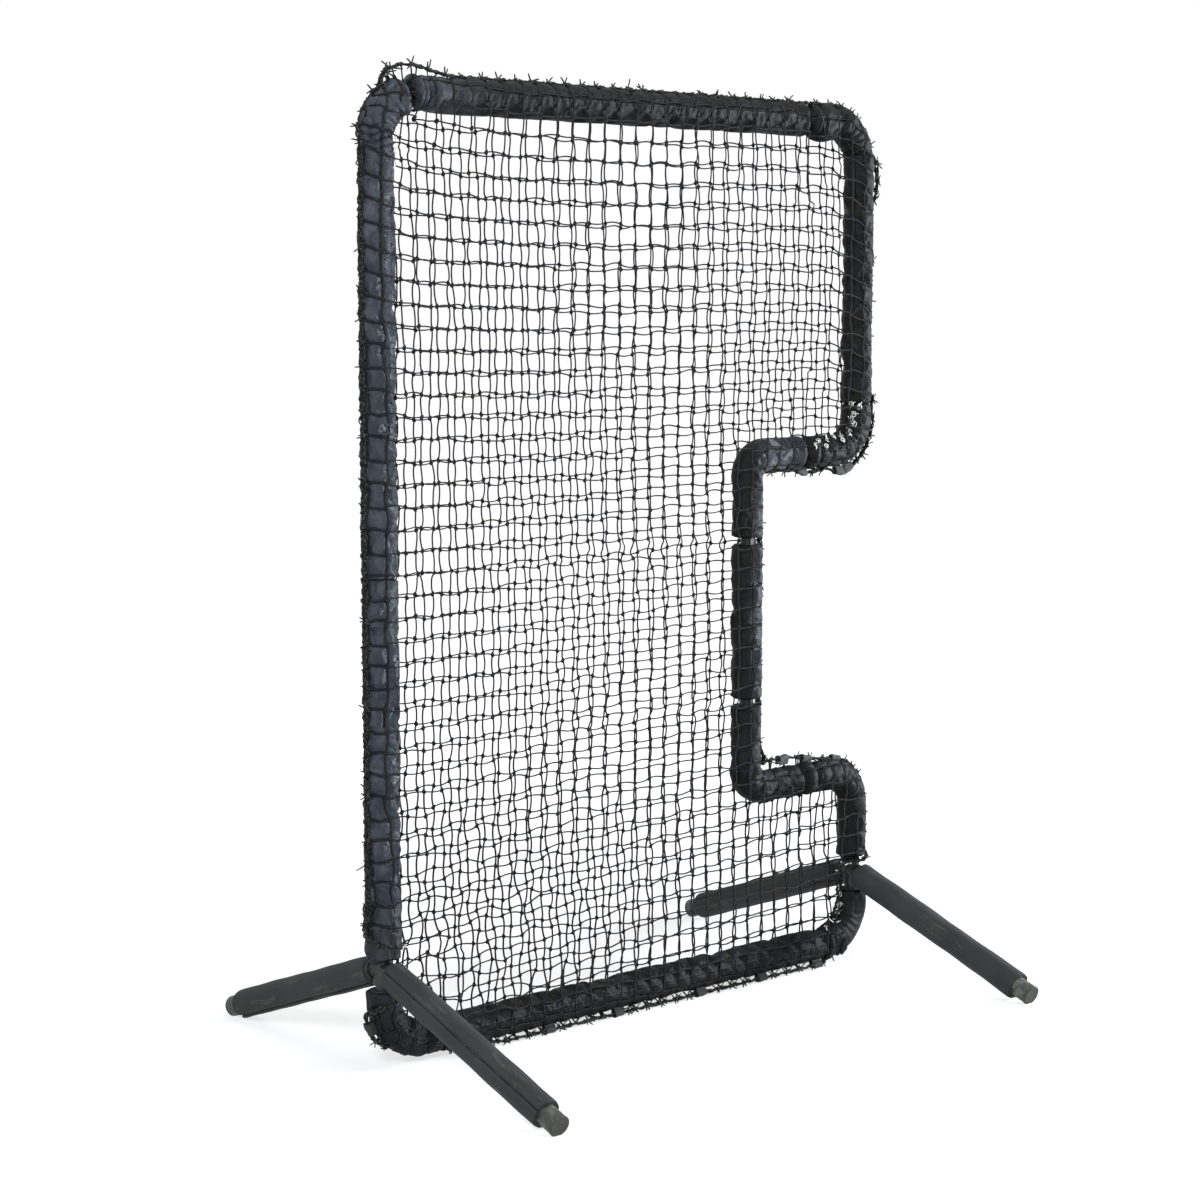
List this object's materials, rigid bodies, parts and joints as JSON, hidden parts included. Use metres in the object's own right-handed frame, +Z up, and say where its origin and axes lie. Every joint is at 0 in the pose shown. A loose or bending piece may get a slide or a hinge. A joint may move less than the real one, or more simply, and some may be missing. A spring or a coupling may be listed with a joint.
{
  "type": "c-shaped softball screen",
  "caption": "Free-standing padded net screen with a throwing notch in one side, on slip-on legs, that shields a pitcher from batted balls.",
  "frame": {"origin": "on the ground, midway between the outer posts and under the plane of the frame", "axes": "+X towards the notched side as seen from the pitcher's front, +Y to the back, +Z up"},
  "size_m": [1.5832, 1.1996, 2.1636],
  "materials": {
    "steel": "satin",
    "padding": "satin",
    "leg_foam": "matte",
    "plug": "matte",
    "net": "matte",
    "strap": "matte"
  },
  "bodies": {
    "frame": {"left_post_lower_tube": "steel", "left_post_upper_tube": "steel", "top_rail_tube": "steel", "right_post_upper_tube": "steel", "upper_arm_tube": "steel", "notch_top_tube": "steel", "notch_post_tube": "steel", "notch_bottom_tube": "steel", "right_post_lower_tube": "steel", "bottom_right_tube": "steel", "bottom_rail_tube": "steel", "bottom_left_tube": "steel", "left_post_lower_padding": "padding", "left_post_upper_padding": "padding", "top_rail_padding": "padding", "right_post_upper_padding": "padding", "upper_arm_padding": "padding", "notch_top_padding": "padding", "notch_post_padding": "padding", "notch_bottom_padding": "padding", "right_post_lower_padding": "padding", "bottom_right_padding": "padding", "bottom_rail_padding": "padding", "bottom_left_padding": "padding", "left_leg_socket": "steel", "right_leg_socket": "steel", "net_front": "net", "net_back": "net", "border_cord": "net", "bottom_tab_1": "strap", "bottom_tab_2": "strap", "bottom_tab_3": "strap", "bottom_tab_4": "strap", "bottom_tab_5": "strap", "bottom_tab_6": "strap", "corner_tab_1": "strap", "lower_arm_tab_1": "strap", "lower_arm_tab_2": "strap", "lower_arm_tab_3": "strap", "notch_tab_1": "strap", "notch_tab_2": "strap", "notch_tab_3": "strap", "upper_arm_tab_1": "strap", "upper_arm_tab_2": "strap", "upper_arm_tab_3": "strap"},
    "front_left_leg": {"front_left_leg_tube": "steel", "front_left_leg_foam": "leg_foam", "front_left_leg_plug": "plug"},
    "back_left_leg": {"back_left_leg_tube": "steel", "back_left_leg_foam": "leg_foam", "back_left_leg_plug": "plug"},
    "front_right_leg": {"front_right_leg_tube": "steel", "front_right_leg_foam": "leg_foam", "front_right_leg_plug": "plug"},
    "back_right_leg": {"back_right_leg_tube": "steel", "back_right_leg_foam": "leg_foam", "back_right_leg_plug": "plug"}
  },
  "joints": [
    {"name": "front_left_leg_pull_off", "type": "slide", "parent": "frame", "child": "front_left_leg", "axis": [0, -0.9421, -0.3355], "range_m": [0, 0.14]},
    {"name": "back_left_leg_pull_off", "type": "slide", "parent": "frame", "child": "back_left_leg", "axis": [0, 0.9421, -0.3355], "range_m": [0, 0.14]},
    {"name": "front_right_leg_pull_off", "type": "slide", "parent": "frame", "child": "front_right_leg", "axis": [0, -0.9421, -0.3355], "range_m": [0, 0.14]},
    {"name": "back_right_leg_pull_off", "type": "slide", "parent": "frame", "child": "back_right_leg", "axis": [0, 0.9421, -0.3355], "range_m": [0, 0.14]}
  ]
}
